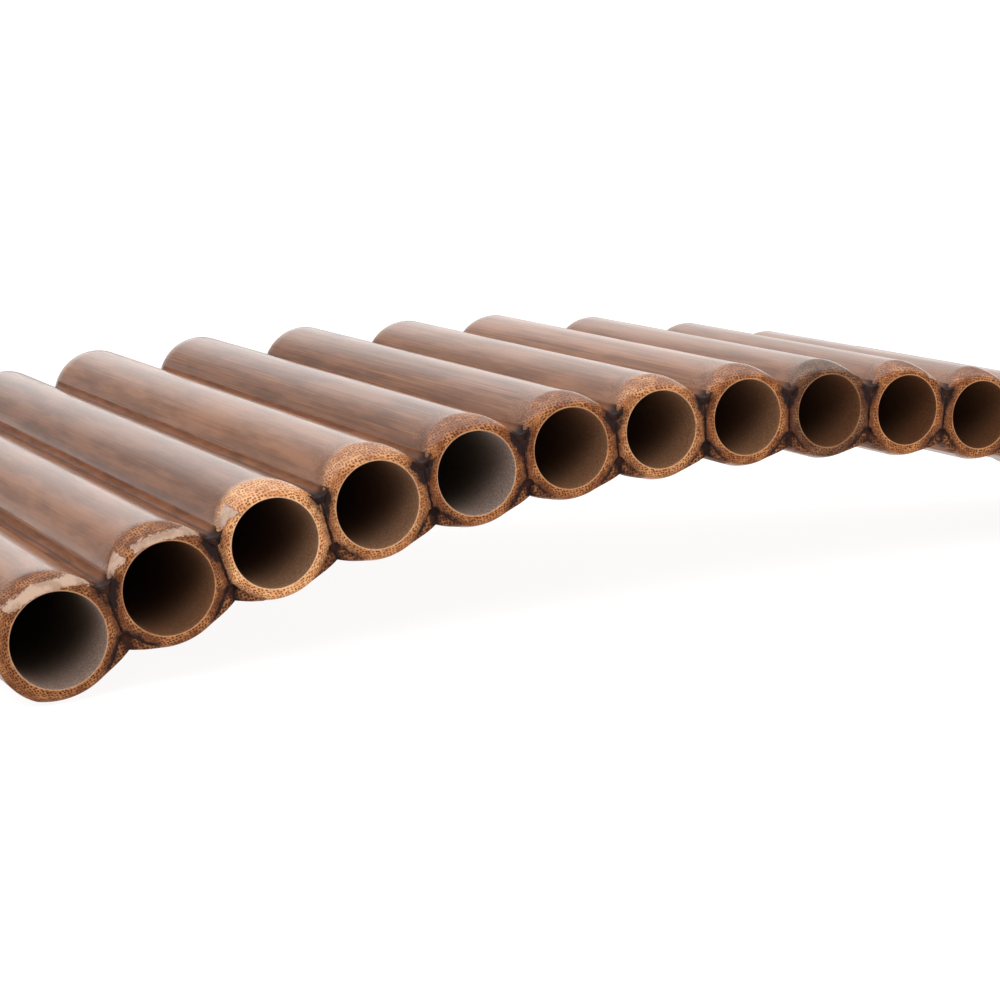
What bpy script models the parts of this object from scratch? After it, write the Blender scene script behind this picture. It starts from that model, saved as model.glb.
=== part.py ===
"""A curved pan flute: fifteen stopped bamboo pipes that sound a major scale, glued side by side in an arch.

The flute lies with its hollow side down, on its longest and its shortest pipe. +X runs from the longest
pipe to the shortest, +Y runs along the pipes away from their mouths, and +Z is up. The origin is at the
bottom centre of the flute's box. Lengths are in metres, and angles are in radians.
"""

from dataclasses import dataclass
from math import acos, atan2, cos, pi, radians, sin, sqrt

import bmesh
import bpy

# Tuning: each pipe is a quarter of its note's wavelength, less what the air outside its mouth adds.
PIPE_COUNT = 15
LOWEST_NOTE = 698.46  # hertz, F5
MAJOR_SCALE = (0, 2, 4, 5, 7, 9, 11)  # semitones above the keynote
SOUND_SPEED = 344.0  # metres per second
MOUTH_CORRECTION = 0.004

# Pipes: a shorter pipe is also thinner, by a power of its length.
LENGTH_OVER_COLUMN = 1.147  # the whole pipe over its air column
LONGEST_RADIUS = 0.0065
RADIUS_POWER = 0.171
BORE_SHARE = 0.756  # the longest pipe's bore over its outside
BORE_POWER = 0.0437
BOTTOM_ROUND = 0.0008

# The arch: its bend tightens towards the short pipes.
ARCH_RADIUS = 0.190
ARCH_TIGHTENING = 0.42
SEAT = 0.9447  # distance between neighbouring axes over the sum of their radii
CLEARANCE = 0.0003  # between any two pieces
JOINT_WEB = 0.0003  # glue between two pipes' flats
JOINT_SETBACK = 0.0015  # from the shorter pipe's bottom to the glue's end
# Glue in the grooves, in shares of the pipe's radius: a notch midway between two pipes, and the points
# (distance from the joint's middle, height) where the glue feathers out against each of them.
OUTER_NOTCH = 0.52
OUTER_FEATHER = ((0.075, 0.575),)
HOLLOW_NOTCH = -0.64
HOLLOW_FEATHER = ((0.20, -0.77), (0.10, -0.725))

# Mouths: cut square, bevelled on the arch's outer side and eased on its hollow side, where the lips rest.
# Lengths and heights here are shares of the pipe's radius.
BEVEL_LENGTH = 0.55
BEVEL_HALF_ANGLE = radians(62)
BEVEL_START = 0.75  # height of the bevel's lower edge over the pipe's axis
BEVEL_FALL = 0.25  # how far that edge falls towards the neighbours, as a parabola
BEVEL_CROWN = (0.45, 0.62)  # shares of the bevel's length and rise at its middle ring
EASE_LENGTH = 0.30
EASE_HALF_ANGLE = radians(42)
EASE_START = 0.90
LIP = 0.00015  # flat left between the bore and the bevel
EDGE_ROUND = 0.0004

# Bottoms: a stopper with a tuning pellet of wax on it.
STOPPER_SHARE = 0.60  # of the length below the air column
STOPPER_INSET = 0.0004
STOPPER_CHAMFER = 0.0004
WAX_DISH = 0.10  # of the bore's radius
WAX_DISH_SPAN = 0.55  # of the pellet's radius

FLAT_STEPS = 4
ROUND_STEPS = 24  # over the round part of a section, however many flats it has
PLUG_SIDES = 20
SHARP_ANGLE = radians(35)

COLOURS = {
    "bamboo": ((0.32, 0.17, 0.09), 0.30),
    "cork": ((0.55, 0.38, 0.22), 0.85),
    "wax": ((0.78, 0.62, 0.30), 0.45),
    "glue": ((0.06, 0.03, 0.03), 0.15),
}


@dataclass
class Pipe:
    """One pipe's sizes, its axis' place in the arch, and its angle: that of its own X to the flute's."""

    length: float
    column: float
    radius: float
    bore: float
    x: float = 0.0
    z: float = 0.0
    angle: float = 0.0


# Sizes and places


def note_frequency(step):
    """The frequency of the note that many steps above the lowest one in the major scale."""
    octave, degree = divmod(step, len(MAJOR_SCALE))
    return LOWEST_NOTE * 2 ** (octave + MAJOR_SCALE[degree] / 12)


def sized_pipes():
    """Every pipe's sizes, from the longest to the shortest."""
    columns = [SOUND_SPEED / (4 * note_frequency(i)) - MOUTH_CORRECTION for i in range(PIPE_COUNT)]
    pipes = []
    for column in columns:
        share = column / columns[0]
        radius = LONGEST_RADIUS * share**RADIUS_POWER
        bore = radius * BORE_SHARE * share**BORE_POWER
        pipes.append(Pipe(column * LENGTH_OVER_COLUMN, column, radius, bore))
    return pipes


def place_along_arch(pipes):
    """Walks along the arch from pipe to pipe, then turns it level on the undersides of its end pipes."""
    middle = (len(pipes) - 2) / 2
    for i, (pipe, following) in enumerate(zip(pipes, pipes[1:])):
        spacing = SEAT * (pipe.radius + following.radius)
        bend = spacing / ARCH_RADIUS * (1 + ARCH_TIGHTENING * (i - middle) / (middle + 0.5))
        following.angle = pipe.angle - bend
        heading = pipe.angle - bend / 2
        following.x = pipe.x + spacing * cos(heading)
        following.z = pipe.z + spacing * sin(heading)
    first, last = pipes[0], pipes[-1]
    level = -atan2((last.z - last.radius) - (first.z - first.radius), last.x - first.x)
    for pipe in pipes:
        x, z = pipe.x, pipe.z
        pipe.x = x * cos(level) - z * sin(level)
        pipe.z = x * sin(level) + z * cos(level)
        pipe.angle += level


def flats_of(pipes, index):
    """The flats of a pipe, as (direction, distance from the axis), in the pipe's own frame."""
    pipe = pipes[index]
    distance = SEAT * pipe.radius - JOINT_WEB / 2 - CLEARANCE
    flats = []
    if index + 1 < len(pipes):
        flats.append(((pipes[index + 1].angle - pipe.angle) / 2, distance))
    if index > 0:
        flats.append((pi + (pipes[index - 1].angle - pipe.angle) / 2, distance))
    return flats


# Mesh helpers


def add_material(name, colour, roughness):
    material = bpy.data.materials.new(name)
    material.use_nodes = True
    shader = material.node_tree.nodes["Principled BSDF"]
    shader.inputs["Base Color"].default_value = (*colour, 1)
    shader.inputs["Roughness"].default_value = roughness
    shader.inputs["Metallic"].default_value = 0
    material.diffuse_color = (*colour, 1)
    return material


def add_ring(bm, points):
    """A closed loop of edges through the points."""
    verts = [bm.verts.new(point) for point in points]
    return [bm.edges.new((a, b)) for a, b in zip(verts, verts[1:] + verts[:1])]


def add_loft(name, rings, material, closed):
    """An object whose skin joins each ring of points to the next.

    A closed loft's last ring joins its first, as on a tube. An open one's two ends are capped.
    """
    bm = bmesh.new()
    loops = [add_ring(bm, points) for points in rings]
    following = loops[1:] + loops[:1] if closed else loops[1:]
    for loop, next_loop in zip(loops, following):
        bmesh.ops.bridge_loops(bm, edges=loop + next_loop)
    if not closed:
        for loop in (loops[0], loops[-1]):
            bmesh.ops.contextual_create(bm, geom=loop)
    bmesh.ops.recalc_face_normals(bm, faces=bm.faces)
    mesh = bpy.data.meshes.new(name)
    bm.to_mesh(mesh)
    bm.free()
    mesh.shade_smooth()
    mesh.set_sharp_from_angle(angle=SHARP_ANGLE)
    mesh.materials.append(material)
    obj = bpy.data.objects.new(name, mesh)
    bpy.context.scene.collection.objects.link(obj)
    return obj


def place(obj, parent, x, z, angle):
    """Stands a piece in the arch: its own X turns from +X up towards +Z by the angle."""
    obj.parent = parent
    obj.location = (x, 0, z)
    obj.rotation_euler = (0, -angle, 0)


def spread(start, end, steps):
    """Even angles from start up to, but not including, end."""
    return [start + (end - start) * i / steps for i in range(steps)]


# Pieces


def section_angles(pipe, flats):
    """The angles of a section's corners: even steps across each flat and along each round stretch."""
    angles = []
    for i, (direction, distance) in enumerate(flats):
        half = acos(distance / pipe.radius)
        next_direction, next_distance = flats[(i + 1) % len(flats)]
        if i + 1 == len(flats):
            next_direction += 2 * pi
        next_half = acos(next_distance / pipe.radius)
        angles += spread(direction - half, direction + half, FLAT_STEPS)
        angles += spread(direction + half, next_direction - next_half, ROUND_STEPS // len(flats))
    return angles


def outer_reach(pipe, flats, angle):
    """From the axis to the pipe's outside: its round, or a flat where that is nearer."""
    reach = pipe.radius
    for direction, distance in flats:
        across = cos(angle - direction)
        if across > 0:
            reach = min(reach, distance / across)
    return reach


def fade(angle, middle, half_angle):
    """1 in the middle of a stretch of the mouth's edge, falling to 0 at its ends."""
    away = abs((angle - middle + pi) % (2 * pi) - pi)
    return max(0.0, 1 - (away / half_angle) ** 2)


def mouth_edge(pipe, outside, angle):
    """How far the flat of the mouth reaches from the axis at an angle, and how deep its bevel runs there."""
    bevel = fade(angle, pi / 2, BEVEL_HALF_ANGLE)
    ease = fade(angle, -pi / 2, EASE_HALF_ANGLE)
    reach = outside - EDGE_ROUND
    if bevel > 0:
        curve = 4 * BEVEL_FALL * BEVEL_START * cos(angle) ** 2
        start = 2 * BEVEL_START / (sin(angle) + sqrt(sin(angle) ** 2 + curve))
        reach = min(reach, max(start * pipe.radius, pipe.bore + LIP))
    reach += (EASE_START * pipe.radius - reach) * ease
    depth = EDGE_ROUND + (BEVEL_LENGTH * pipe.radius - EDGE_ROUND) * bevel
    depth += (EASE_LENGTH * pipe.radius - EDGE_ROUND) * ease
    return reach, depth


def tube_rings(pipe, flats):
    """The rings of a bamboo tube: up its bore from the bottom, round the mouth and down its outside."""
    land, crown, shoulder = [], [], []
    bore_mouth, bore_bottom, body, corner, bottom = [], [], [], [], []
    corner_inset = BOTTOM_ROUND * (1 - cos(pi / 4))
    corner_rise = BOTTOM_ROUND * (1 - sin(pi / 4))
    for angle in section_angles(pipe, flats):

        def at(reach, y):
            return (reach * cos(angle), y, reach * sin(angle))

        outside = outer_reach(pipe, flats, angle)
        land_reach, depth = mouth_edge(pipe, outside, angle)
        crown_depth, crown_rise = BEVEL_CROWN
        bore_bottom.append(at(pipe.bore, pipe.length))
        bore_mouth.append(at(pipe.bore, 0))
        land.append(at(land_reach, 0))
        crown.append(at(land_reach + crown_rise * (outside - land_reach), crown_depth * depth))
        shoulder.append(at(outside, depth))
        body.append(at(outside, pipe.length - BOTTOM_ROUND))
        corner.append(at(outside - corner_inset, pipe.length - corner_rise))
        bottom.append(at(outside - BOTTOM_ROUND, pipe.length))
    return [bore_bottom, bore_mouth, land, crown, shoulder, body, corner, bottom]


def disc_ring(radius, y):
    return [(radius * cos(a), y, radius * sin(a)) for a in spread(0, 2 * pi, PLUG_SIDES)]


def stopper_rings(pipe):
    """A plug with chamfered edges, set just inside the pipe's bottom."""
    radius = pipe.bore - CLEARANCE
    outer = pipe.length - STOPPER_INSET
    inner = outer - STOPPER_SHARE * (pipe.length - pipe.column)
    return [
        disc_ring(radius - STOPPER_CHAMFER, inner),
        disc_ring(radius, inner + STOPPER_CHAMFER),
        disc_ring(radius, outer - STOPPER_CHAMFER),
        disc_ring(radius - STOPPER_CHAMFER, outer),
    ]


def wax_rings(pipe):
    """A pellet that fills the bore from the stopper to the bottom of the air column, dished on top."""
    radius = pipe.bore - CLEARANCE
    stopper_top = pipe.length - STOPPER_INSET - STOPPER_SHARE * (pipe.length - pipe.column)
    return [
        disc_ring(WAX_DISH_SPAN * radius, pipe.column + WAX_DISH * radius),
        disc_ring(radius, pipe.column),
        disc_ring(radius, stopper_top - CLEARANCE),
    ]


def joint_side(pipe, sign):
    """One pipe's side of a glue joint's section, from the outer groove to the hollow one."""
    around = pipe.radius + CLEARANCE
    web = JOINT_WEB / 2
    flat = sqrt(around**2 - (SEAT * pipe.radius - web) ** 2)
    outer = [(x * pipe.radius, z * pipe.radius) for x, z in OUTER_FEATHER]
    hollow = [(x * pipe.radius, z * pipe.radius) for x, z in HOLLOW_FEATHER]
    groove = (hollow[0][1] - flat) / 2
    beside_pipe = (SEAT * pipe.radius - sqrt(around**2 - groove**2), groove)
    points = [*outer, (web, flat), (web, -flat), beside_pipe, *hollow]
    return [(sign * x, z) for x, z in points]


def joint_rings(left, right):
    """The glue between two pipes: a web between their flats that fills part of the groove above and below."""
    radius = (left.radius + right.radius) / 2
    outer_notch = (0, OUTER_NOTCH * radius)
    hollow_notch = (0, HOLLOW_NOTCH * radius)
    section = [outer_notch, *joint_side(right, 1), hollow_notch, *reversed(joint_side(left, -1))]
    end = right.length - JOINT_SETBACK
    return [[(x, y, z) for x, z in section] for y in (0, end)]


def centre_on_box(frame, objects):
    """Moves the frame so that the origin is at the bottom centre of the objects' box."""
    bpy.context.view_layer.update()
    corners = [obj.matrix_world @ vert.co for obj in objects for vert in obj.data.vertices]
    low = [min(corner[k] for corner in corners) for k in range(3)]
    high = [max(corner[k] for corner in corners) for k in range(3)]
    frame.location = (-(low[0] + high[0]) / 2, -(low[1] + high[1]) / 2, -low[2])
    bpy.context.view_layer.update()


def main():
    for obj in list(bpy.data.objects):
        bpy.data.objects.remove(obj, do_unlink=True)

    flute = bpy.data.objects.new("flute", None)
    bpy.context.scene.collection.objects.link(flute)

    pipes = sized_pipes()
    place_along_arch(pipes)

    pieces = []
    for i, pipe in enumerate(pipes):
        number = f"{i + 1:02d}"
        kinds = (
            ("tube", "bamboo", tube_rings(pipe, flats_of(pipes, i)), True),
            ("stopper", "cork", stopper_rings(pipe), False),
            ("tuning_wax", "wax", wax_rings(pipe), False),
        )
        for kind, finish, rings, closed in kinds:
            name = f"{kind}_{number}"
            piece = add_loft(name, rings, add_material(name, *COLOURS[finish]), closed)
            place(piece, flute, pipe.x, pipe.z, pipe.angle)
            pieces.append(piece)

    for i, (left, right) in enumerate(zip(pipes, pipes[1:])):
        name = f"glue_joint_{i + 1:02d}_{i + 2:02d}"
        joint = add_loft(name, joint_rings(left, right), add_material(name, *COLOURS["glue"]), False)
        heading = (left.angle + right.angle) / 2
        place(
            joint,
            flute,
            left.x + SEAT * left.radius * cos(heading),
            left.z + SEAT * left.radius * sin(heading),
            heading,
        )
        pieces.append(joint)

    centre_on_box(flute, pieces)


main()
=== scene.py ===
"""The finished look of a curved pan flute: fifteen lacquered bamboo pipes, glued side by side in an arch.

+X runs from the longest pipe to the shortest, +Y runs along the pipes away from their mouths, +Z is up.
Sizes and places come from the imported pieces. Lengths are in metres and angles in radians, except in the
materials, whose patterns are laid out in millimetres.
"""

from dataclasses import dataclass
from math import atan2, cos, pi, radians, sin

import bmesh
import bpy
import numpy as np
from mathutils import Matrix, Vector


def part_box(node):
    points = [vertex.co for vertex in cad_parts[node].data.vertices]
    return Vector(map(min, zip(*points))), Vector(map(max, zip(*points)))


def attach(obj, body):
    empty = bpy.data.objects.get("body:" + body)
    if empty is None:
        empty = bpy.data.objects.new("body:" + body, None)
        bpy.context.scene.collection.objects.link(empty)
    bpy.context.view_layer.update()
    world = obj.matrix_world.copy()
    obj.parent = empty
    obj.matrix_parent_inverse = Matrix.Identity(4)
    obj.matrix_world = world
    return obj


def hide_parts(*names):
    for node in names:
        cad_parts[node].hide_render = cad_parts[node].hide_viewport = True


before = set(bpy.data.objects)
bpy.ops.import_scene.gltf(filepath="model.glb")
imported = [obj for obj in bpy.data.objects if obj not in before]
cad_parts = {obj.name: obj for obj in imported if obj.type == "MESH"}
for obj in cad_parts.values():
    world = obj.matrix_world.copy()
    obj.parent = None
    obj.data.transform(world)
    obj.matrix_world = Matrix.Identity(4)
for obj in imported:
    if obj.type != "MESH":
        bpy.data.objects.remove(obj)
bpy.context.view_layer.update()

MM = 0.001

# Sections
GLUE_LINE = 0.05 * MM  # from a flat to the middle of its joint
FLAT_COLUMNS = 28
ROUND_COLUMNS = 140  # over the round part of a section, however many flats it has
SKIN_INSET = 0.05 * MM  # of the round part, so that its unevenness stays inside the pipe's radius
FLAT_BLEND = 0.985  # the radius over a flat's reach where that unevenness starts to fade towards the flat
TOUCHING = 0.001 * MM  # a point this near the skin is on it

# Mouths, in shares of the pipe's radius unless in millimetres
BEVEL_LENGTH = 0.55
BEVEL_HALF_ANGLE = radians(62)
BEVEL_START = 0.75  # height of the bevel's lower edge over the pipe's axis
BEVEL_FALL = 0.25  # how far that edge falls towards the neighbours, as a parabola
EASE_LENGTH = 0.30
EASE_HALF_ANGLE = radians(42)
EASE_START = 0.90
CROWN_RISE, CROWN_RUN = 0.74, 0.40  # control point of a bevel's profile, in shares of its rise and length
LIP = 0.12 * MM  # rounding between the bore and the mouth's flat
EDGE_ROUND = 0.35 * MM
FLAT_ROUND = 0.12 * MM  # the same edge where a neighbour lies against it
BOTTOM_ROUND = 0.8 * MM

# Rows of a tube's mesh
BORE_ROWS = 26
BORE_CROWDING = 0.38  # below 1, rows crowd towards the mouth
LIP_ROWS = 4
LAND_SHARES = (0.15, 0.3, 0.5, 0.75, 1.0)  # of the mouth's flat
BEVEL_ROWS = 9
# Of the outside, from the bevel to the bottom's rounding
BODY_SHARES = (0.0015, 0.005, 0.01, 0.018, 0.028, *np.linspace(0.042, 1, 44))
BOTTOM_ROWS = 5
BOTTOM_SHARES = (0.3, 0.6, 0.9)  # of the bottom's flat
BOTTOM_LIP = (0.2 * MM, 0.1 * MM, 0.03 * MM)  # out from the bore: cut face's end and lip, and the lip's depth

# Unevenness: waves round a piece and radians in each WAVE_LENGTH along it, then their height
WAVE_LENGTH = 0.1
SKIN_WAVES = (((2, 0.2), (3, 1.1), (2, 2.3), (5, 0.7), (4, 3.1)), 0.10 * MM)
BORE_WAVES = (((3, 6), (4, 9), (5, 3), (2, 1)), 0.05 * MM)
PLUG_WAVES = (((2, 5), (3, 8), (5, 11)), 0.12 * MM)
NOTCH_WAVES = ((1, 6), (1, 11), (1, 23))
NOTCH_WAVE_SHARE = 0.05  # of the radius
BORE_SEED, GLUE_SEED, PLUG_SEED = 100, 300, 500  # a tube's skin counts from 0

# Grain: millimetres between one piece's patterns and the next one's, so that no two are alike
TUBE_SHIFT, GLUE_SHIFT, PLUG_SHIFT = np.array([(17.3, 11.1, 23.7), (5.1, 9.7, 3.3), (7.9, 3.1, 13.3)])
RING_CROWDING = 0.9  # how much its rings crowd together towards the skin
GRAIN_DRIFT, DRIFT_LENGTH = 0.5, 0.6  # outwards for each step behind the bevel, and over how many radii

# Glue
UPPER_FEATHER, LOWER_FEATHER = radians(37), radians(-62)  # where the glue in a groove leaves a pipe
UPPER_NOTCH = (0.50, -0.03, -0.05)  # over the radius: midway between two pipes, change at the mouth and tail
LOWER_NOTCH = (-0.655, 0.02, 0.05)
UPPER_STEPS, LOWER_STEPS = 7, 13
UPPER_HOLLOW, LOWER_HOLLOW = 2.4, 1.3  # above 1, the glue's surface clings to the pipe before it leaves it
FEATHER_SINK, WEB_SINK = 0.006, 0.03  # how far the glue reaches into a pipe, over its radius
WEB_WIDTH = 1.4 * GLUE_LINE
WEB_HEIGHTS = (0.29, 0.1, -0.1, -0.29)
UPPER_SUNK_ANGLES = (35, 31, 27, 23)
LOWER_SUNK_ANGLES = (-23, -31, -39, -47, -55, -60)
GLUE_SETBACK = 1.5 * MM  # from the shorter pipe's bottom
GLUE_MOUTH_REACH = 0.28  # over the radius
GLUE_TAIL = 0.7 * MM
GLUE_MOUTH_ROWS = (0.03, 0.08, 0.16, 0.28, 0.45, 0.7, 1.0, 1.4, 1.9, 2.5, 3.3)  # millimetres from the mouth
GLUE_BODY_START, GLUE_BODY_END, GLUE_BODY_ROWS = 4.2 * MM, 0.6 * MM, 30
GLUE_LAST_ROW = 0.25 * MM

# Corks and wax
PLUG_SIDES = 72
PLUG_PRESS = 0.03 * MM  # how far a plug reaches into the wall of its bore
PLUG_TIP = 0.01  # radius of the flat cap in the middle of its faces, over its own
CHEEK = 0.85  # where its faces' unevenness fades out

# Half the width of the dark glue smeared over a mouth's four corners, in shares of the radius: upper and
# lower towards the longer neighbour, then upper and lower towards the shorter one.
SMEARS = (
    (0.02, 0.03, 0.04, 0.08),
    (0.10, 0.08, 0.11, 0.07),
    (0.02, 0.02, 0.03, 0.02),
    (0.07, 0.06, 0.09, 0.06),
    (0.07, 0.08, 0.10, 0.09),
    (0.07, 0.05, 0.09, 0.06),
    (0.06, 0.04, 0.06, 0.04),
    (0.05, 0.07, 0.08, 0.08),
    (0.08, 0.07, 0.08, 0.08),
    (0.06, 0.03, 0.06, 0.08),
    (0.07, 0.07, 0.06, 0.06),
    (0.06, 0.05, 0.08, 0.07),
    (0.05, 0.07, 0.07, 0.05),
    (0.08, 0.04, 0.06, 0.08),
    (0.06, 0.07, 0.03, 0.03),
)
UPPER_SMEAR = ((0.94, 0.14), (0.82, 0.44))  # ends of its middle line, in shares of the radius
LOWER_SMEAR = ((0.90, -0.42), (0.56, -0.80))
JOINT_STAIN = ((0.95, 0.20), (0.95, -0.45))
JOINT_STAIN_SIZE = 0.04
SMEAR_RUN = 2.0  # how much further a smear runs down a bevel than across the mouth

# Pale patches low on some bevels, a painted highlight for the lacquer's reflection of a bright light, as
# (first angle, last angle, width over the radius). They start a little way inside the mouth's flat.
PAINTED_SHEEN_PATCHES = {
    0: ((radians(36), radians(126), 0.14),),
    1: ((radians(36), radians(112), 0.12), (radians(123), radians(150), 0.20)),
    2: ((radians(121), radians(146), 0.16),),
    9: ((radians(32), radians(58), 0.10),),
}
PAINTED_SHEEN_START = 0.1 * MM

# Each pipe's look, from 0 to 1: how deeply it is smoked at its cut end and over its skin, how streaked its
# skin is, how glossy its bevel is, and how grey with dust its bore is.
CUT_SMOKE = (0.60, 0.60, 0.0, 0.25, 0.50, 0.52, 0.32, 0.50, 0.92, 0.50, 0.52, 0.35, 0.55, 0.40, 0.50)
SKIN_SMOKE = (0.30, 0.35, 0.60, 0.25, 0.60, 0.55, 0.35, 0.25, 0.45, 0.35, 0.40, 0.50, 0.30, 0.45, 0.35)
STREAKS = (0.25, 0.25, 0.28, 0.40, 0.60, 0.70, 0.50, 0.75, 0.45, 0.40, 0.35, 0.45, 0.60, 0.40, 0.55)
BEVEL_GLOSS = (0.25, 0.30, *[0.80] * 13)
BORE_DUST = (0.95, 0.30, 0.55, 0.55, 1.0, 0.40, 0.45, 0.45, 0.15, 0.05, 0.10, 0.4, 0.3, 0.5, 0.4)

# Colours, as display values. Rows of three go from lightly to deeply smoked, or from a clean to a dusty bore.
SKIN_LIGHT = ((163, 116, 88), (145, 103, 80), (118, 88, 76))
SKIN_DARK = ((136, 94, 70), (117, 82, 64), (92, 68, 61))
PALE_STREAK, DARK_STREAK = (172, 112, 70), (84, 54, 42)
PALE_FIBRE, DARK_FIBRE = (190, 128, 82), (76, 48, 38)
CUT_PALE = ((232, 177, 124), (182, 120, 74), (126, 88, 61))
CUT_DARK = ((208, 144, 94), (138, 82, 46), (91, 60, 43))
BUNDLE = ((124, 60, 30), (66, 29, 15), (38, 22, 16))
CUT_STAIN = ((150, 92, 56), (98, 52, 28), (56, 34, 26))
# Painted shade on the rounded outer edge of a cut end, where it turns away from the light
EDGE_SHADE = ((150, 104, 74), (104, 62, 38), (70, 46, 36))
BORE_RIM = ((244, 202, 160), (220, 160, 110), (158, 116, 82))
# Painted highlight: pale patches for the lacquer's reflection of a bright light, and the brown edge round
# them
PAINTED_SHEEN_DARK, PAINTED_SHEEN_PALE, PAINTED_SHEEN_EDGE = (158, 128, 108), (182, 152, 132), (96, 54, 32)
BORE_PALE = ((104, 66, 42), (146, 108, 80), (160, 138, 126))
BORE_DARK = ((72, 42, 26), (106, 74, 52), (108, 92, 84))
BORE_DEEP = ((104, 76, 56), (114, 84, 64), (108, 94, 82))
SMEAR_STAIN, SMEAR_MIDDLE = (78, 40, 24), (24, 12, 11)
GLUE_DARK, GLUE_BROWN = (26, 14, 12), (52, 28, 20)
DUST_DARK, DUST_PALE, DUST_DOT = (110, 66, 40), (160, 104, 66), (70, 38, 24)
GROOVE_DARK, GROOVE_PALE, GROOVE_LINE = (108, 66, 43), (138, 88, 58), (56, 34, 26)
CORK_DARK, CORK_PALE, CORK_PIT = (168, 124, 82), (206, 166, 120), (92, 58, 36)
WAX_DARK, WAX_PALE = (196, 146, 70), (222, 178, 98)


@dataclass
class Pipe:
    """One pipe as packed: its axis, its turn in the arch, its mouth's place and its sizes."""

    number: str
    x: float
    z: float
    mouth: float
    length: float
    radius: float
    bore: float
    angle: float = 0.0


def read_pipes():
    pipes = []
    for name in sorted(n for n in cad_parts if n.startswith("tube_")):
        number = name[-2:]
        low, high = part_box(f"stopper_{number}")
        x, z = (low.x + high.x) / 2, (low.z + high.z) / 2
        points = np.array([v.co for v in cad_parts[name].data.vertices])
        reach = np.hypot(points[:, 0] - x, points[:, 2] - z)
        pipes.append(Pipe(number, x, z, points[:, 1].min(), np.ptp(points[:, 1]), reach.max(), reach.min()))
    return pipes


# A pipe's own X halves the angle between the headings to its two neighbours.
pipes = read_pipes()
headings = [atan2(b.z - a.z, b.x - a.x) for a, b in zip(pipes, pipes[1:])]
first_bend, last_bend = headings[0] - headings[1], headings[-2] - headings[-1]
spread_headings = [headings[0] + first_bend, *headings, headings[-1] - last_bend]
for pipe, before, after in zip(pipes, spread_headings, spread_headings[1:]):
    pipe.angle = (before + after) / 2


# Meshes


def grid_object(name, points, attributes, material, close_rows=True):
    """A surface through closed rows of points. The last row joins the first, or both are capped."""
    rows, columns = points.shape[:2]
    row = np.arange(rows if close_rows else rows - 1)[:, None]
    column = np.arange(columns)[None, :]
    here, there = row * columns, (row + 1) % rows * columns
    next_column = (column + 1) % columns
    corners = [here + column, there + column, there + next_column, here + next_column]
    faces = np.stack(corners, axis=-1).reshape(-1, 4).tolist()
    if not close_rows:
        faces.append(list(range(columns)))
        faces.append(list(range(rows * columns - 1, (rows - 1) * columns - 1, -1)))
    mesh = bpy.data.meshes.new(name)
    mesh.from_pydata(points.reshape(-1, 3).tolist(), [], faces)
    for key, values in attributes.items():
        kind, field = ("FLOAT_VECTOR", "vector") if values.ndim == 3 else ("FLOAT", "value")
        attribute = mesh.attributes.new(key, kind, "POINT")
        attribute.data.foreach_set(field, values.astype(np.float32).ravel())
    bm = bmesh.new()
    bm.from_mesh(mesh)
    bmesh.ops.triangulate(bm, faces=[f for f in bm.faces if len(f.verts) > 4])
    bmesh.ops.recalc_face_normals(bm, faces=bm.faces)
    bm.to_mesh(mesh)
    bm.free()
    mesh.shade_smooth()
    mesh.materials.append(material)
    obj = bpy.data.objects.new(name, mesh)
    bpy.context.scene.collection.objects.link(obj)
    return obj


def in_arch(pipe, reach, theta, y):
    """Points of a pipe from its own polar coordinates, y counted from the mouth."""
    turn = theta + pipe.angle
    x, z = pipe.x + reach * np.cos(turn), pipe.z + reach * np.sin(turn)
    return np.stack([x, pipe.mouth + y, z], axis=-1)


def waves(seed, theta, y, cycles, amplitude):
    """Low, smooth unevenness over a surface."""
    random = np.random.default_rng(seed)
    total = np.zeros(np.broadcast(theta, y).shape)
    for around, along in cycles:
        phase, other = random.uniform(0, 2 * pi, 2)
        swell = np.cos(around * theta + phase) * np.cos(along * y / WAVE_LENGTH + other)
        total = total + random.uniform(0.5, 1) * swell
    return total * amplitude / len(cycles)


def step(value, low, high):
    """Smooth step from 0 at low to 1 at high."""
    t = np.clip((value - low) / (high - low), 0, 1)
    return t * t * (3 - 2 * t)


# Tubes


def flats_of(index):
    """A pipe's flats as (direction in its own frame, distance from the axis)."""
    pipe = pipes[index]
    flats = []
    for other, turn in ((index + 1, 0.0), (index - 1, pi)):
        if 0 <= other < len(pipes):
            neighbour = pipes[other]
            span = np.hypot(neighbour.x - pipe.x, neighbour.z - pipe.z)
            share = span * pipe.radius / (pipe.radius + neighbour.radius)
            direction = headings[min(index, other)] - pipe.angle + turn
            flats.append((direction, share - GLUE_LINE))
    return flats


def section_angles(pipe, flats):
    """Angles of a section's columns, with a column on each edge of each flat."""
    angles = []
    for i, (direction, distance) in enumerate(flats):
        half = np.arccos(distance / pipe.radius)
        following, next_distance = flats[(i + 1) % len(flats)]
        if i + 1 == len(flats):
            following += 2 * pi
        next_half = np.arccos(next_distance / pipe.radius)
        angles.append(np.linspace(direction - half, direction + half, FLAT_COLUMNS, endpoint=False))
        columns = ROUND_COLUMNS // len(flats)
        angles.append(np.linspace(direction + half, following - next_half, columns, endpoint=False))
    return np.concatenate(angles)


def flat_reach(theta, flats):
    """From the axis to the nearest flat at each angle, or far away where there is none."""
    no_flat, steepest = 10.0, 0.3
    reach = np.full_like(theta, no_flat)
    for direction, distance in flats:
        across = np.cos(theta - direction)
        cut = np.minimum(reach, distance / np.maximum(across, steepest))
        reach = np.where(across > steepest, cut, reach)
    return reach


def fade(theta, middle, half_angle):
    """1 in the middle of a stretch of the mouth's edge, falling to 0 at its ends."""
    away = np.abs((theta - middle + pi) % (2 * pi) - pi)
    return np.clip(1 - (away / half_angle) ** 2, 0, None)


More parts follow.
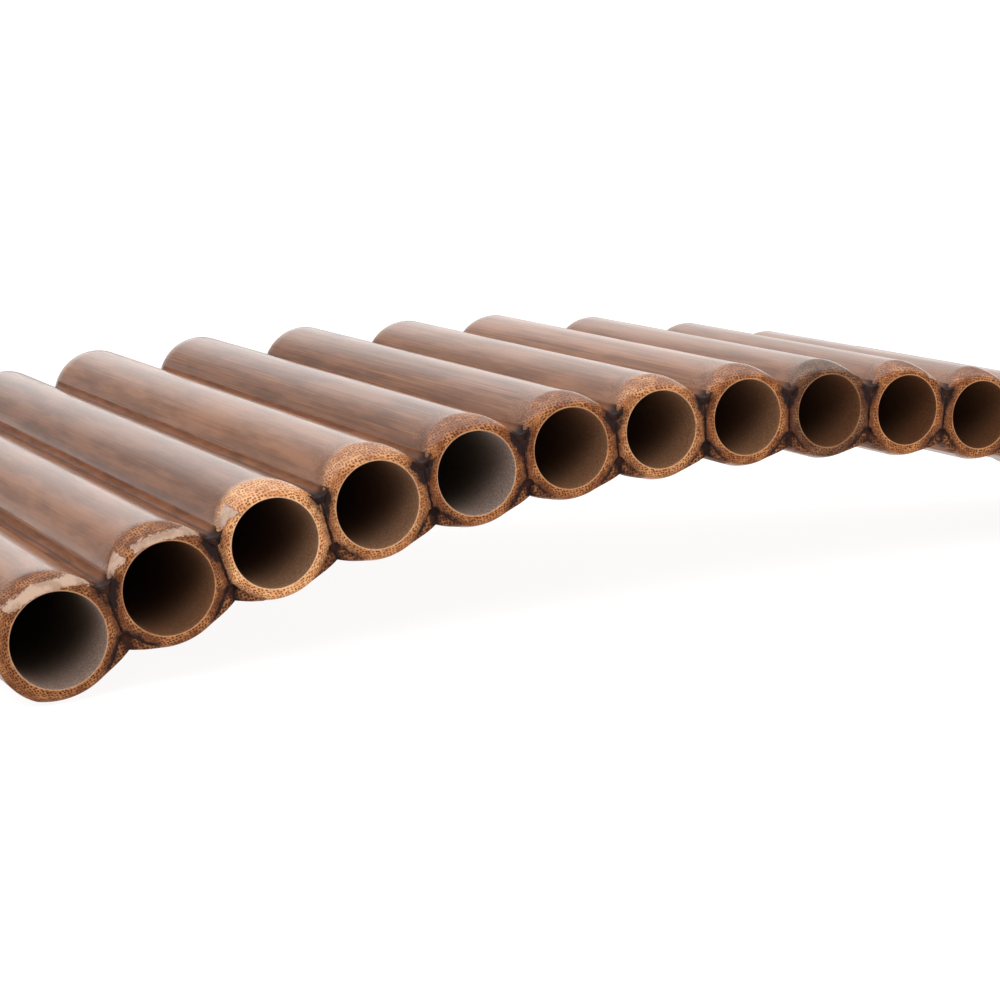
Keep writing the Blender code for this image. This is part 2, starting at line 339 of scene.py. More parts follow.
def mouth_edge(pipe, theta, rim, edge):
    """At each angle, how far the flat of the mouth reaches, and how deep the bevel or easing runs."""
    radius = pipe.radius
    bevel = fade(theta, pi / 2, BEVEL_HALF_ANGLE)
    ease = fade(theta, -pi / 2, EASE_HALF_ANGLE)
    curve = 4 * BEVEL_FALL * BEVEL_START * np.cos(theta) ** 2
    start = 2 * BEVEL_START / (np.sin(theta) + np.sqrt(np.sin(theta) ** 2 + curve)) * radius
    land = rim - edge
    land = np.where(bevel > 0, np.minimum(land, np.maximum(start, pipe.bore + LIP)), land)
    land = land + (EASE_START * radius - land) * ease
    depth = edge + (BEVEL_LENGTH * radius - edge) * bevel + (EASE_LENGTH * radius - edge) * ease
    return land, depth


def bevel_point(t):
    """Shares of a bevel's rise and of its length at a point along its crowned profile."""
    return 2 * t * (1 - t) * CROWN_RISE + t * t, 2 * t * (1 - t) * CROWN_RUN + t * t


def eased_reach(pipe, angle, y):
    """How far a pipe's round reaches at one angle and some depths behind its mouth."""
    land, depth = mouth_edge(pipe, np.array([angle]), pipe.radius, EDGE_ROUND)
    rise, run = bevel_point(np.linspace(0, 1, 40))
    return np.interp(y, run * depth, land + rise * (pipe.radius - land))


def tube_surface(pipe, theta, outside, land, depth, rough):
    """A tube's rows, up its bore, round the mouth and down its outside: reach, depth, and 1 in the bore."""
    bore, length = pipe.bore, pipe.length
    reaches, depths, in_bore = [], [], []

    def ring(reach, y, inside=0.0):
        reaches.append(np.broadcast_to(reach, theta.shape))
        depths.append(np.broadcast_to(y, theta.shape))
        in_bore.append(np.full(theta.shape, inside))

    shares = (1 - (1 - np.linspace(0, 1, BORE_ROWS)) ** BORE_CROWDING)[::-1][:-1]
    for y in shares * (length - LIP) + LIP:
        ring(bore + rough(y), y, 1.0)
    for turn in np.linspace(0, pi / 2, LIP_ROWS):
        ring(bore + LIP * (1 - cos(turn)), LIP * (1 - sin(turn)), 1 - turn / (pi / 2) * 0.5)
    for share in LAND_SHARES:
        ring(bore + LIP + (land - bore - LIP) * share, 0.0)
    for t in np.linspace(0, 1, BEVEL_ROWS)[1:]:
        rise, run = bevel_point(t)
        ring(land + rise * (outside(depth) - land), run * depth)
    body_end = length - BOTTOM_ROUND
    for share in BODY_SHARES:
        y = depth + share * (body_end - depth)
        ring(outside(y), y)
    for turn in np.linspace(0, pi / 2, BOTTOM_ROWS)[1:]:
        ring(outside(length) - BOTTOM_ROUND * (1 - cos(turn)), body_end + BOTTOM_ROUND * sin(turn))
    face_end, lip, lip_depth = BOTTOM_LIP
    for share in BOTTOM_SHARES:
        face = bore + face_end - outside(length) + BOTTOM_ROUND
        ring(outside(length) - BOTTOM_ROUND + face * share, length)
    ring(bore + lip, length - lip_depth, 0.3)
    return np.array(reaches), np.array(depths), np.array(in_bore)


def segment_distance(x, z, start, end):
    """From points to the segment between two places on the mouth."""
    run = np.array(end) - np.array(start)
    along = ((x - start[0]) * run[0] + (z - start[1]) * run[1]) / (run @ run)
    along = np.clip(along, 0, 1)
    return np.hypot(x - start[0] - along * run[0], z - start[1] - along * run[1])


def smear_field(index, reach, theta, y, in_bore):
    """How deep inside a smear of glue each point lies, in millimetres, negative outside."""
    radius = pipes[index].radius
    local_x, local_z = reach * np.cos(theta) / radius, reach * np.sin(theta) / radius
    smear = np.full(reach.shape, -1.0)
    upper_before, lower_before, upper_after, lower_after = SMEARS[index]
    for side, upper, lower in ((-1, upper_before, lower_before), (1, upper_after, lower_after)):
        if (side < 0 and index == 0) or (side > 0 and index == len(pipes) - 1):
            continue
        for size, line in ((upper, UPPER_SMEAR), (lower, LOWER_SMEAR), (JOINT_STAIN_SIZE, JOINT_STAIN)):
            ends = [(x * side, z) for x, z in line]
            away = segment_distance(local_x, local_z, *ends)
            smear = np.maximum(smear, size - np.hypot(away, y / radius / SMEAR_RUN))
    return np.where(in_bore > 0.5, -1.0, smear) * radius / MM


def painted_sheen_field(index, theta, reach, y, in_bore, land, depth):
    """How deep inside a patch of painted highlight each point lies, in millimetres, negative outside."""
    radius = pipes[index].radius
    bare = np.full(reach.shape, -1.0)
    turned = (theta + pi / 2) % (2 * pi) - pi / 2
    for first, last, width in PAINTED_SHEEN_PATCHES.get(index, ()):
        sides = np.minimum(turned - first, last - turned)
        rise = np.minimum(reach - land + PAINTED_SHEEN_START, land + width * radius - reach) / radius
        bare = np.maximum(bare, np.where(y < depth, np.minimum(sides, rise), -1.0))
    return np.where(in_bore > 0.2, -1.0, bare) * radius / MM


def build_tube(index):
    pipe = pipes[index]
    radius, bore = pipe.radius, pipe.bore
    flats = flats_of(index)
    theta = section_angles(pipe, flats)
    flat = flat_reach(theta, flats)
    on_flat = step(radius / flat, FLAT_BLEND, 1.0)

    def outside(y):
        uneven = waves(index, theta, y, *SKIN_WAVES)
        return np.minimum(radius + (uneven - SKIN_INSET) * (1 - on_flat), flat)

    def rough(y):
        return waves(BORE_SEED + index, theta, y, *BORE_WAVES)

    edge = EDGE_ROUND + (FLAT_ROUND - EDGE_ROUND) * on_flat
    land, depth = mouth_edge(pipe, theta, outside(0), edge)
    reach, y, in_bore = tube_surface(pipe, theta, outside, land, depth, rough)

    skin = np.array([outside(row) for row in y])
    wall = np.clip((reach - bore) / (skin - bore), 0, 1)
    wall = np.where(reach >= skin - TOUCHING, 1.0, wall)

    warped = bore + (radius - bore) * (wall + RING_CROWDING * wall**2)
    warped = warped + GRAIN_DRIFT * np.clip(y - depth, 0, DRIFT_LENGTH * radius)
    grain = np.stack([warped * np.cos(theta), warped * np.sin(theta), y], axis=-1) / MM

    attributes = {
        "grain": grain + TUBE_SHIFT * (index + 1),
        "wall": wall,
        "bore": in_bore,
        "smear": smear_field(index, reach, theta, y, in_bore),
        "bare": painted_sheen_field(index, theta, reach, y, in_bore, land, depth),
        "depth": y / MM,
        "past": np.clip((y - depth) / radius, -1, 1),
    }
    points = in_arch(pipe, reach, theta, y)
    tube = grid_object(f"bamboo_pipe_{pipe.number}", points, attributes, bamboo(index))
    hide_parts(f"tube_{pipe.number}")
    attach(tube, "root")


# Glue


def groove_line(pipe, seat, start_angle, notch, power, y, steps):
    """The visible side of the glue in a groove, from where it leaves a pipe to its notch."""
    first = eased_reach(pipe, start_angle, y) - FEATHER_SINK * pipe.radius
    last_reach, last_angle = np.hypot(seat, notch), np.arctan2(notch, seat)
    line = []
    for share in np.linspace(0, 1, steps):
        angle = start_angle + (last_angle - start_angle) * share
        reach = first + (last_reach - first) * share**power
        line.append((seat - reach * np.cos(angle), reach * np.sin(angle)))
    return line


def joint_side(pipe, seat, upper_notch, lower_notch, y):
    """One pipe's side of the glue at depths y, as columns (distance from the joint's middle, height)."""

    def sunk(degrees):
        angle = radians(degrees)
        reach = eased_reach(pipe, angle, y) - WEB_SINK * pipe.radius
        return seat - reach * cos(angle), reach * sin(angle)

    columns = groove_line(pipe, seat, UPPER_FEATHER, upper_notch, UPPER_HOLLOW, y, UPPER_STEPS)[::-1]
    columns += [sunk(degrees) for degrees in UPPER_SUNK_ANGLES]
    columns += [(WEB_WIDTH + 0 * y, share * pipe.radius + 0 * y) for share in WEB_HEIGHTS]
    columns += [sunk(degrees) for degrees in LOWER_SUNK_ANGLES]
    columns += groove_line(pipe, seat, LOWER_FEATHER, lower_notch, LOWER_HOLLOW, y, LOWER_STEPS)
    return columns


def build_glue(index):
    left, right = pipes[index], pipes[index + 1]
    heading = headings[index]
    span = np.hypot(right.x - left.x, right.z - left.z)
    seats = [span * p.radius / (left.radius + right.radius) for p in (left, right)]
    radius = (left.radius + right.radius) / 2
    end = right.length - GLUE_SETBACK
    body = np.linspace(GLUE_BODY_START, end - GLUE_BODY_END, GLUE_BODY_ROWS)
    y = np.concatenate([np.array(GLUE_MOUTH_ROWS) * MM, body, [end - GLUE_LAST_ROW, end]])
    wander = waves(GLUE_SEED + index, 0.0, y, NOTCH_WAVES, NOTCH_WAVE_SHARE * radius)
    mouth = 1 - step(y, 0, GLUE_MOUTH_REACH * radius)
    tail = step(y, end - GLUE_TAIL, end)
    notches = []
    for level, at_mouth, at_tail in (UPPER_NOTCH, LOWER_NOTCH):
        notches.append((level + at_mouth * mouth + at_tail * tail) * radius + wander)
    sides = [joint_side(p, seat, *notches, y) for p, seat in zip((left, right), seats)]
    section = [(-x, z) for x, z in sides[0]] + sides[1][1:-1][::-1]
    x = np.stack([column[0] for column in section], axis=-1)
    z = np.stack([column[1] for column in section], axis=-1)
    y = y[:, None] + 0 * x
    arch_x = left.x + seats[0] * cos(heading) + x * cos(heading) - z * sin(heading)
    arch_z = left.z + seats[0] * sin(heading) + x * sin(heading) + z * cos(heading)
    attributes = {
        "grain": np.stack([x, z, y], axis=-1) / MM + GLUE_SHIFT * (index + 1),
        "upper": step(z, 0.0, 0.4 * radius),
        "depth": y / MM,
        "across": x / radius,
        "height": z / radius,
    }
    points = np.stack([arch_x, left.mouth + y, arch_z], axis=-1)
    name = f"{left.number}_{right.number}"
    piece = grid_object(f"glue_{name}", points, attributes, glue_material, close_rows=False)
    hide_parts(f"glue_joint_{name}")
    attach(piece, "root")


# Corks and wax


def cork_profile(near, far):
    """A cork's profile from the middle of its inner face to the middle of its outer one."""
    profile = [(0.0, near), (0.5, near), (0.9, near), (0.97, near + 0.2 * MM), (1.0, near + 0.5 * MM)]
    profile += [(1.0, y) for y in np.linspace(near, far, 6)[1:-1]]
    profile += [(1.0, far - 0.45 * MM), (0.985, far - 0.2 * MM), (0.94, far - 0.04 * MM), (0.9, far)]
    return profile + [(0.7, far), (0.45, far), (0.2, far), (0.0, far)]


def wax_profile(near, far, bore):
    """A wax pellet's profile: dished where the air column ends, and drawn up the wall of the bore."""
    dish = near + 0.10 * bore
    rises = ((0.0, 0.0), (0.2, 0.01), (0.4, 0.03), (0.6, 0.06), (0.8, 0.085))
    profile = [(share, dish - rise * bore) for share, rise in rises]
    profile += [(0.93, near), (1.0, near - 0.1 * MM)]
    profile += [(1.0, y) for y in np.linspace(near, far, 4)[1:]]
    return profile + [(0.0, far)]


def build_plug(index, kind):
    pipe = pipes[index]
    node = {"cork": "stopper", "wax": "tuning_wax"}[kind] + f"_{pipe.number}"
    low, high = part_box(node)
    near, far = low.y - pipe.mouth, high.y - pipe.mouth
    profile = cork_profile(near, far) if kind == "cork" else wax_profile(near, far, pipe.bore)
    theta = np.linspace(0, 2 * pi, PLUG_SIDES, endpoint=False)
    radius = pipe.bore + PLUG_PRESS
    reach = np.array([max(share, PLUG_TIP) * radius for share, _ in profile])[:, None] + 0 * theta
    y = np.array([v for _, v in profile])[:, None] + 0 * theta
    cheek = step(reach / radius, CHEEK, 1.0)
    y = y + (1 - cheek) * waves(PLUG_SEED + index, theta, reach / radius * WAVE_LENGTH, *PLUG_WAVES)
    grain = np.stack([reach * np.cos(theta), reach * np.sin(theta), y], axis=-1) / MM
    attributes = {"grain": grain + PLUG_SHIFT * (index + 1)}
    material = {"cork": cork_material, "wax": wax_material}[kind]
    points = in_arch(pipe, reach, theta, y)
    piece = grid_object(f"{kind}_{pipe.number}", points, attributes, material, close_rows=False)
    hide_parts(node)
    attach(piece, "root")


# Materials


def rgb(red, green, blue):
    """A colour from the usual 0 to 255 display values."""
    values = [v / 255 for v in (red, green, blue)]
    return (*[v / 12.92 if v <= 0.04045 else ((v + 0.055) / 1.055) ** 2.4 for v in values], 1)


def between(share, stops):
    """A colour some share of the way along a row of colours."""
    place = min(max(share, 0), 1) * (len(stops) - 1)
    first = min(int(place), len(stops) - 2)
    return rgb(*[a + (b - a) * (place - first) for a, b in zip(stops[first], stops[first + 1])])


class Finish:
    """A material under construction, and its nodes."""

    def __init__(self, name):
        self.material = bpy.data.materials.new(name)
        self.material.use_nodes = True
        self.tree = self.material.node_tree
        self.tree.nodes.clear()
        self.shader = self.node("BsdfPrincipled")
        output = self.node("OutputMaterial")
        self.tree.links.new(self.shader.outputs[0], output.inputs[0])

    def node(self, kind, inputs=(), **settings):
        made = self.tree.nodes.new("ShaderNode" + kind)
        for key, value in settings.items():
            setattr(made, key, value)
        for key, value in dict(inputs).items():
            self.give(made.inputs[key], value)
        return made

    def give(self, socket, value):
        if isinstance(value, bpy.types.NodeSocket):
            self.tree.links.new(value, socket)
        else:
            socket.default_value = value

    def set(self, **inputs):
        for key, value in inputs.items():
            self.give(self.shader.inputs[key.replace("_", " ")], value)

    def value(self, name):
        return self.node("Attribute", attribute_name=name).outputs["Fac"]

    def vector(self, name):
        return self.node("Attribute", attribute_name=name).outputs["Vector"]

    def math(self, operation, a, b=0.0, c=0.0, clamp=False):
        made = self.node("Math", {0: a, 1: b, 2: c}, operation=operation, use_clamp=clamp)
        return made.outputs[0]

    def stretched(self, vector, around, along):
        """A pattern's place, its detail 1 / around times as wide across the grain and 1 / along as long."""
        made = self.node("VectorMath", {0: vector, 1: (around, around, along)}, operation="MULTIPLY")
        return made.outputs[0]

    def noise(self, vector, scale, detail=3.0, rough=0.55):
        inputs = {"Vector": vector, "Scale": scale, "Detail": detail, "Roughness": rough, "Distortion": 0.0}
        return self.node("TexNoise", inputs).outputs["Fac"]

    def ramp(self, value, low, high, start=0.0, end=1.0):
        """Smoothly from start where the value is low, or less, to end where it is high."""
        inputs = {"Value": value, "From Min": low, "From Max": high, "To Min": start, "To Max": end}
        return self.node("MapRange", inputs, interpolation_type="SMOOTHSTEP").outputs[0]

    def mix(self, share, a, b):
        return self.node("Mix", {0: share, 6: a, 7: b}, data_type="RGBA").outputs[2]

    def blend(self, share, a, b):
        """The same for two numbers."""
        return self.node("Mix", {0: share, 2: a, 3: b}, data_type="FLOAT").outputs[0]

    def ragged(self, value, grain, width, scale, detail, rough=0.55):
        """A value made uneven over a width, so that the edge of what it draws is ragged."""
        uneven = self.math("MULTIPLY_ADD", self.noise(grain, scale, detail, rough), width, -width / 2)
        return self.math("ADD", value, uneven)

    def bump(self, height, strength, distance):
        inputs = {"Height": height, "Strength": strength, "Distance": distance}
        return self.node("Bump", inputs).outputs[0]


def dots(finish, grain, spacing, inner, outer):
    """Dark vascular bundles in the cut end of the bamboo: 1 in a bundle and 0 between.

    The spacing is in millimetres, and the radii inside and outside a bundle's soft edge are shares of it.
    """
    inputs = {"Vector": grain, "Scale": 1 / spacing, "Randomness": 0.55}
    cells = finish.node("TexVoronoi", inputs, voronoi_dimensions="2D").outputs["Distance"]
    return finish.ramp(finish.ragged(cells, grain, 0.16, 1.3 / spacing, 1.0), inner, outer, 1.0, 0.0)


def skin_colour(finish, grain, index):
    """The smoked skin, mottled and streaked along the grain, and the height of its fibres."""
    smoke, streaks = SKIN_SMOKE[index], STREAKS[index]
    long_streaks = finish.noise(finish.stretched(grain, 1.0, 0.010), 2.4, 2.0, 0.5)
    fine_streaks = finish.noise(finish.stretched(grain, 1.0, 0.008), 7.0, 1.0, 0.5)
    mottle = finish.noise(finish.stretched(grain, 0.30, 0.07), 1.0, 3.0, 0.6)
    skin = finish.mix(finish.ramp(mottle, 0.35, 0.65), between(smoke, SKIN_DARK), between(smoke, SKIN_LIGHT))
    for pattern, low, high, strength, colour in (
        (long_streaks, 0.50, 0.72, 0.55, PALE_STREAK),
        (long_streaks, 0.48, 0.28, 0.50, DARK_STREAK),
        (fine_streaks, 0.56, 0.74, 0.70, PALE_FIBRE),
        (fine_streaks, 0.44, 0.28, 0.55, DARK_FIBRE),
    ):
        skin = finish.mix(finish.ramp(pattern, low, high, 0.0, strength * streaks), skin, rgb(*colour))
    return skin, fine_streaks


def cut_spots(finish, grain, wall):
    """The bundles in the cut end, closer together towards the skin."""
    coarse = dots(finish, grain, 0.38, 0.22, 0.45)
    fine = dots(finish, grain, 0.32, 0.21, 0.46)
    return finish.blend(finish.ramp(wall, 0.45, 0.85), coarse, fine)


def cut_colour(finish, grain, wall, spots, cloud, toned):
    """The cut end: dotted, stained wood, painted shade on its rounded outer edge, and a pale rim round the
    bore.
    """
    ground = finish.mix(finish.ramp(cloud, 0.35, 0.65), between(toned, CUT_DARK), between(toned, CUT_PALE))
    faint = finish.ramp(finish.noise(grain, 0.9, 2.0), 0.3, 0.6, 0.65, 1.0)
    faint = finish.math("MULTIPLY", faint, finish.ramp(wall, 0.84, 0.99, 1.0, 0.75))
    cut = finish.mix(finish.math("MULTIPLY", spots, faint), ground, between(toned, BUNDLE))
    stain = finish.ramp(finish.noise(grain, 0.38, 4.0, 0.65), 0.46, 0.72, 0.0, 0.25 + 0.6 * toned)
    cut = finish.mix(stain, cut, between(toned, CUT_STAIN))
    # Painted shade: darker towards the outer edge, where the edge rounds away
    edge_shade = finish.ramp(wall, 0.80, 0.98, 0.0, 0.10 + 0.20 * toned)
    cut = finish.mix(edge_shade, cut, between(toned, EDGE_SHADE))
    return finish.mix(finish.ramp(wall, 0.15, 0.05, 0.0, 0.8), cut, between(toned, BORE_RIM))


def bore_colour(finish, grain, depth, dusty):
    """The bore: dusty near the mouth and plainer further in."""
    dust = finish.noise(grain, 5.0, 3.0, 0.8)
    inner = finish.mix(finish.ramp(dust, 0.35, 0.65), between(dusty, BORE_DARK), between(dusty, BORE_PALE))
    return finish.mix(finish.ramp(depth, 1.0, 12.0), inner, between(dusty, BORE_DEEP))


def bamboo(index):
    """Smoke-browned, lacquered bamboo: streaked skin, dotted end grain and a dusty bore."""
    finish = Finish(f"bamboo_{index + 1:02d}")
    grain, wall, bore = finish.vector("grain"), finish.value("wall"), finish.value("bore")
    smear, bare, depth = finish.value("smear"), finish.value("bare"), finish.value("depth")
    toned = CUT_SMOKE[index]
    skin, fibres = skin_colour(finish, grain, index)
    spots = cut_spots(finish, grain, wall)
    cloud = finish.noise(grain, 0.55, 3.0, 0.6)
    cut = cut_colour(finish, grain, wall, spots, cloud, toned)

    # The dots outlast the pale wood between them where the mouth meets the skin.
    reached = finish.ragged(finish.value("past"), grain, 0.16, 0.9, 3.0)
    lasting = finish.math("MULTIPLY", spots, finish.ramp(reached, 0.50, 0.05, 0.0, 0.55))
    skin = finish.mix(lasting, skin, between(toned, BUNDLE))
    at_mouth = finish.ramp(reached, 0.26, -0.10)
    on_cut = finish.math("MAXIMUM", at_mouth, finish.ramp(wall, 0.997, 0.90))
    colour = finish.mix(on_cut, skin, cut)

    # Painted highlight: pale patches standing for the lacquer's reflection of a bright light, with a brown
    # edge
    ragged_sheen = finish.ragged(bare, grain, 1.1, 2.2, 4.0, 0.7)
    sheen_colour = finish.mix(finish.ramp(cloud, 0.4, 0.6), rgb(*PAINTED_SHEEN_DARK), rgb(*PAINTED_SHEEN_PALE))
    colour = finish.mix(finish.ramp(ragged_sheen, -0.14, 0.02, 0.0, 0.8), colour, rgb(*PAINTED_SHEEN_EDGE))
    colour = finish.mix(finish.ramp(ragged_sheen, 0.02, 0.14), colour, sheen_colour)

    in_bore = finish.ramp(bore, 0.45, 0.8)
    colour = finish.mix(in_bore, colour, bore_colour(finish, grain, depth, BORE_DUST[index]))

    # Smeared glue: a brown stain round a dark middle
    spread = finish.ragged(smear, grain, 1.3, 1.4, 4.0, 0.65)
    colour = finish.mix(finish.ramp(spread, -0.9, 0.05, 0.0, 0.7), colour, rgb(*SMEAR_STAIN))
    glue = finish.ramp(spread, -0.12, 0.20, 0.0, 0.95)
    colour = finish.mix(glue, colour, rgb(*SMEAR_MIDDLE))

    # Lacquer over the skin and the bevel, hardly any over the flat of the mouth, and none in the bore. It
    # thins where the skin turns away, which keeps the outlines brown under the bright horizon.
    bevelled = finish.ramp(depth, 0.1, 0.8)
    facing = finish.node("LayerWeight", {"Blend": 0.5}).outputs["Facing"]
    skin_gloss = finish.ramp(facing, 0.84, 0.99, 0.95, 0.30)
    cut_gloss = finish.math("MULTIPLY_ADD", bevelled, BEVEL_GLOSS[index], 0.06)
    coat = finish.math("SUBTRACT", finish.blend(on_cut, skin_gloss, cut_gloss), in_bore, clamp=True)
    coat = finish.math("MAXIMUM", coat, finish.math("MULTIPLY", glue, 0.35))
    flow = finish.noise(finish.stretched(grain, 1.0, 0.15), 1.2, 2.0)
    flat_cut = finish.math("MULTIPLY", on_cut, finish.math("SUBTRACT", 1.0, bevelled))
    finish.set(
        Coat_Weight=coat,
        Coat_Roughness=finish.ramp(flow, 0.3, 0.7, 0.08, 0.18),
        Coat_IOR=finish.math("MULTIPLY_ADD", flat_cut, -0.25, 1.5),
    )

    # Bundles sink where the wood is cut, and fibres stand proud in the skin.
    cut_only = finish.math("SUBTRACT", on_cut, in_bore, clamp=True)
    sunk = finish.math("MULTIPLY", spots, finish.math("MULTIPLY", cut_only, -0.5))
    raised = finish.math("MULTIPLY", fibres, finish.math("SUBTRACT", 1.0, on_cut))
    relief = finish.math("ADD", sunk, finish.math("MULTIPLY", raised, 0.6))
    finish.set(
        Base_Color=colour,
        Roughness=finish.blend(on_cut, 0.42, 0.6),
        Specular_IOR_Level=finish.math("MULTIPLY", on_cut, 0.08),
        Normal=finish.bump(relief, 0.35, 0.00005),
    )
    return finish.material


def dark_glue():
    """Brown-black glue: ground flush and stained like the cut bamboo at the mouths, lacquered behind them."""
    finish = Finish("dark_glue")
    grain, upper, depth = finish.vector("grain"), finish.value("upper"), finish.value("depth")
    across, height = finish.math("ABSOLUTE", finish.value("across")), finish.value("height")
    cloud = finish.noise(finish.stretched(grain, 1.0, 0.2), 0.8, 3.0, 0.6)
    dark = finish.mix(finish.ramp(cloud, 0.35, 0.65), rgb(*GLUE_DARK), rgb(*GLUE_BROWN))

    # Bamboo dust ground into the lower corners, clear of the joint's middle
    patches = finish.noise(grain, 0.8, 4.0, 0.65)
    ground = finish.mix(finish.ramp(patches, 0.35, 0.65), rgb(*DUST_DARK), rgb(*DUST_PALE))
    ground = finish.mix(dots(finish, grain, 0.36, 0.22, 0.54), ground, rgb(*DUST_DOT))
    clear = finish.ramp(finish.ragged(across, grain, 0.24, 0.8, 4.0, 0.65), 0.02, 0.14)
    dusty = finish.math("MULTIPLY", clear, finish.ramp(height, -0.42, -0.52))
    dark = finish.mix(finish.math("MULTIPLY", dusty, 0.85), dark, ground)

    # Brown lacquer in the grooves, with a thin dark line down their middle
    lacquer = finish.mix(finish.ramp(cloud, 0.3, 0.7), rgb(*GROOVE_DARK), rgb(*GROOVE_PALE))
    lacquer = finish.mix(finish.ramp(across, 0.04, 0.01, 0.0, 0.75), lacquer, rgb(*GROOVE_LINE))
    colour = finish.mix(finish.ramp(depth, 0.6, 3.0, 0.0, 0.9), dark, lacquer)

    relief = finish.noise(finish.stretched(grain, 1.0, 0.2), 1.2, 2.0)
    finish.set(Base_Color=colour, Roughness=0.5, Specular_IOR_Level=0.06)
    finish.set(Normal=finish.bump(relief, 0.3, 0.0001))
    finish.set(Coat_Weight=finish.blend(upper, 0.0, 0.10), Coat_Roughness=0.12)
    return finish.material


def natural_cork():
    finish = Finish("natural_cork")
    grain = finish.vector("grain")
    cells = finish.noise(grain, 4.5, 3.0, 0.7)
    colour = finish.mix(finish.ramp(cells, 0.35, 0.7), rgb(*CORK_DARK), rgb(*CORK_PALE))
    pit = finish.ramp(finish.noise(finish.stretched(grain, 1.0, 0.5), 1.7, 2.0, 0.6), 0.62, 0.70)
    colour = finish.mix(pit, colour, rgb(*CORK_PIT))
    height = finish.math("SUBTRACT", finish.math("MULTIPLY", cells, 0.4), pit)
    finish.set(Base_Color=colour, Roughness=0.9, Normal=finish.bump(height, 0.6, 0.0002))
    return finish.material


def beeswax():
    finish = Finish("beeswax")
    grain = finish.vector("grain")
    cloud = finish.noise(grain, 1.3, 3.0, 0.6)
    colour = finish.mix(finish.ramp(cloud, 0.3, 0.7), rgb(*WAX_DARK), rgb(*WAX_PALE))
    finish.set(Base_Color=colour, Roughness=0.45, Subsurface_Weight=0.2, Subsurface_Scale=0.002)
    finish.set(Normal=finish.bump(finish.noise(grain, 2.4, 2.0), 0.4, 0.0001))
    return finish.material


glue_material = dark_glue()
cork_material = natural_cork()
wax_material = beeswax()

for i in range(len(pipes)):
    build_tube(i)
    build_plug(i, "cork")
    build_plug(i, "wax")
for i in range(len(pipes) - 1):
    build_glue(i)


# Stage

FLOOR_RADIUS = 6.0
FLOOR_DROP = 0.05 * MM  # below the flute, so that the two don't flicker where they touch
FLOOR_GREY, FLOOR_GLOW = 0.16, 0.91  # a dull grey that also shines, so shadows on it stay faint

# Sine of the elevation and brightness
SKY = ((0.0, 1.0), (0.06, 0.75), (0.14, 0.40), (0.30, 0.29), (0.85, 1.50))
GLOW_DIRECTION = (0.35, 0.92, 0.12)
GLOW = (0.84, 0.98, 0.86)  # cosine at its edge and at its middle, brightness

KEY_PLACE, KEY_SIZE, KEY_WATTS = (-0.5, -0.7, 0.8), (0.7, 0.5), 5

LENS, SENSOR = 89.05, 36  # millimetres
CLIP_START, CLIP_END = 0.01, 50
CAMERA_OFFSET = (-0.06092, -0.23217, 0.05731)  # from the longest pipe's mouth
HEADING, PITCH, ROLL = radians(-25.22), radians(-10.82), radians(-2.36)


def build_floor():
    finish = Finish("white_floor")
    finish.set(Base_Color=(FLOOR_GREY, FLOOR_GREY, FLOOR_GREY, 1), Roughness=0.9)
    finish.set(Emission_Color=(1, 1, 1, 1), Emission_Strength=FLOOR_GLOW)
    bm = bmesh.new()
    bmesh.ops.create_circle(bm, cap_ends=True, segments=96, radius=FLOOR_RADIUS)
    mesh = bpy.data.meshes.new("floor")
    bm.to_mesh(mesh)
    bm.free()
    mesh.materials.append(finish.material)
    floor = bpy.data.objects.new("floor", mesh)
    floor.location = (0, 0, -FLOOR_DROP)
    bpy.context.scene.collection.objects.link(floor)


def build_key_light():
    """A soft rectangular lamp, in front, above and to the left, aimed at the flute's middle."""
    data = bpy.data.lights.new("key", "AREA")
    data.shape = "RECTANGLE"
    data.size, data.size_y = KEY_SIZE
    data.energy = KEY_WATTS
    lamp = bpy.data.objects.new("key", data)
    lamp.location = KEY_PLACE
    lamp.rotation_euler = (-Vector(KEY_PLACE)).to_track_quat("-Z", "Y").to_euler()
    bpy.context.scene.collection.objects.link(lamp)


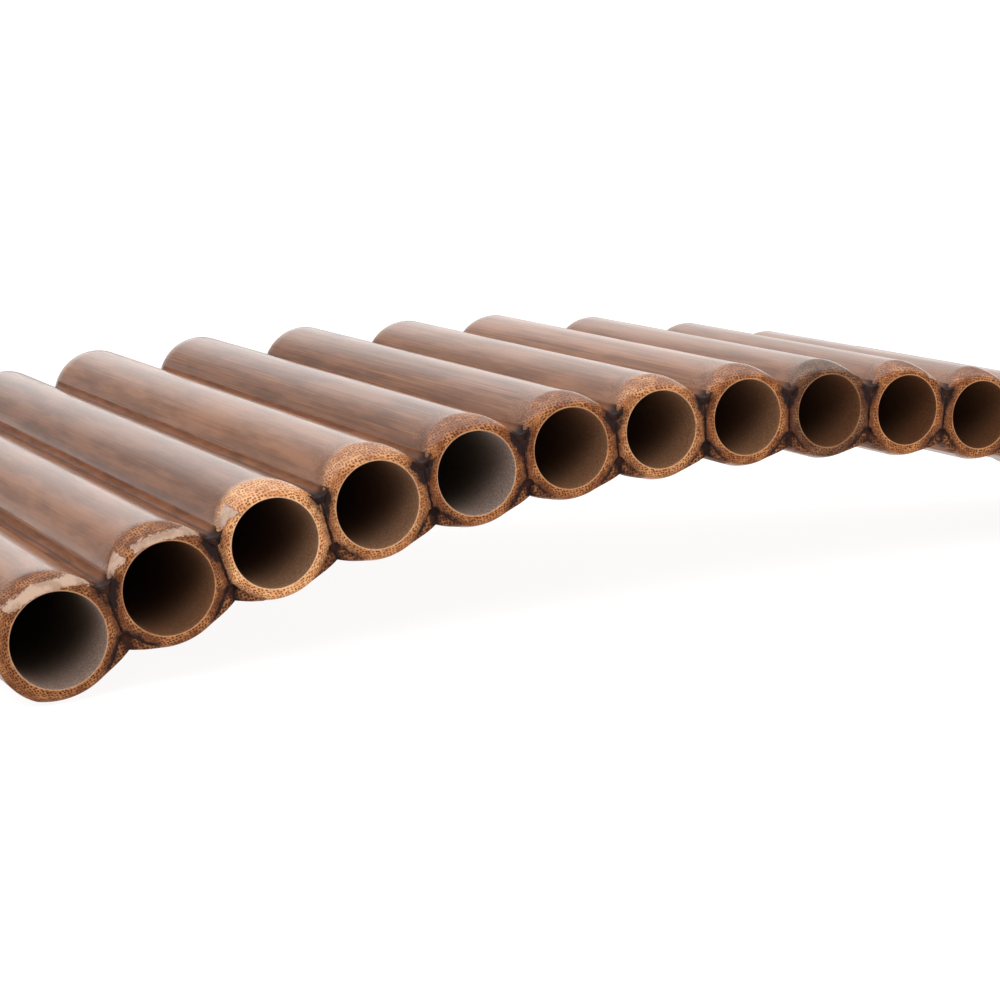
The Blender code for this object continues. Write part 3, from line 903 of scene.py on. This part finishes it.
def build_world():
    """A white horizon under a dim wall, a broad soft light overhead, and a soft glow far behind the flute."""
    world = bpy.data.worlds.new("studio")
    world.use_nodes = True
    nodes, links = world.node_tree.nodes, world.node_tree.links
    direction = nodes.new("ShaderNodeTexCoord").outputs["Generated"]
    split = nodes.new("ShaderNodeSeparateXYZ")
    links.new(direction, split.inputs[0])
    ramp = nodes.new("ShaderNodeValToRGB")
    while len(ramp.color_ramp.elements) < len(SKY):
        ramp.color_ramp.elements.new(0.5)
    for element, (place, level) in zip(ramp.color_ramp.elements, SKY):
        element.position = place
        element.color = (level, level, level, 1)
    links.new(split.outputs["Z"], ramp.inputs[0])

    towards = nodes.new("ShaderNodeVectorMath")
    towards.operation = "DOT_PRODUCT"
    links.new(direction, towards.inputs[0])
    towards.inputs[1].default_value = Vector(GLOW_DIRECTION).normalized()
    glow = nodes.new("ShaderNodeMapRange")
    glow.interpolation_type = "SMOOTHSTEP"
    links.new(towards.outputs["Value"], glow.inputs["Value"])
    for key, value in zip(("From Min", "From Max", "To Max"), GLOW):
        glow.inputs[key].default_value = value
    total = nodes.new("ShaderNodeMix")
    total.data_type, total.blend_type = "RGBA", "ADD"
    total.inputs[0].default_value = 1.0
    links.new(ramp.outputs[0], total.inputs[6])
    links.new(glow.outputs[0], total.inputs[7])
    links.new(total.outputs[2], nodes["Background"].inputs["Color"])
    bpy.context.scene.world = world


def build_camera():
    """Looks along the pipes from low in front of the longest one."""
    data = bpy.data.cameras.new("camera")
    data.lens, data.sensor_width = LENS, SENSOR
    data.clip_start, data.clip_end = CLIP_START, CLIP_END
    camera = bpy.data.objects.new("camera", data)
    first = pipes[0]
    place = Vector((first.x, first.mouth, first.z)) + Vector(CAMERA_OFFSET)
    upright = Matrix.Rotation(HEADING, 4, "Z") @ Matrix.Rotation(pi / 2 + PITCH, 4, "X")
    camera.matrix_world = Matrix.Translation(place) @ upright @ Matrix.Rotation(ROLL, 4, "Z")
    bpy.context.scene.collection.objects.link(camera)
    bpy.context.scene.camera = camera


build_floor()
build_world()
build_key_light()
build_camera()
bpy.context.scene.view_settings.view_transform = "Standard"
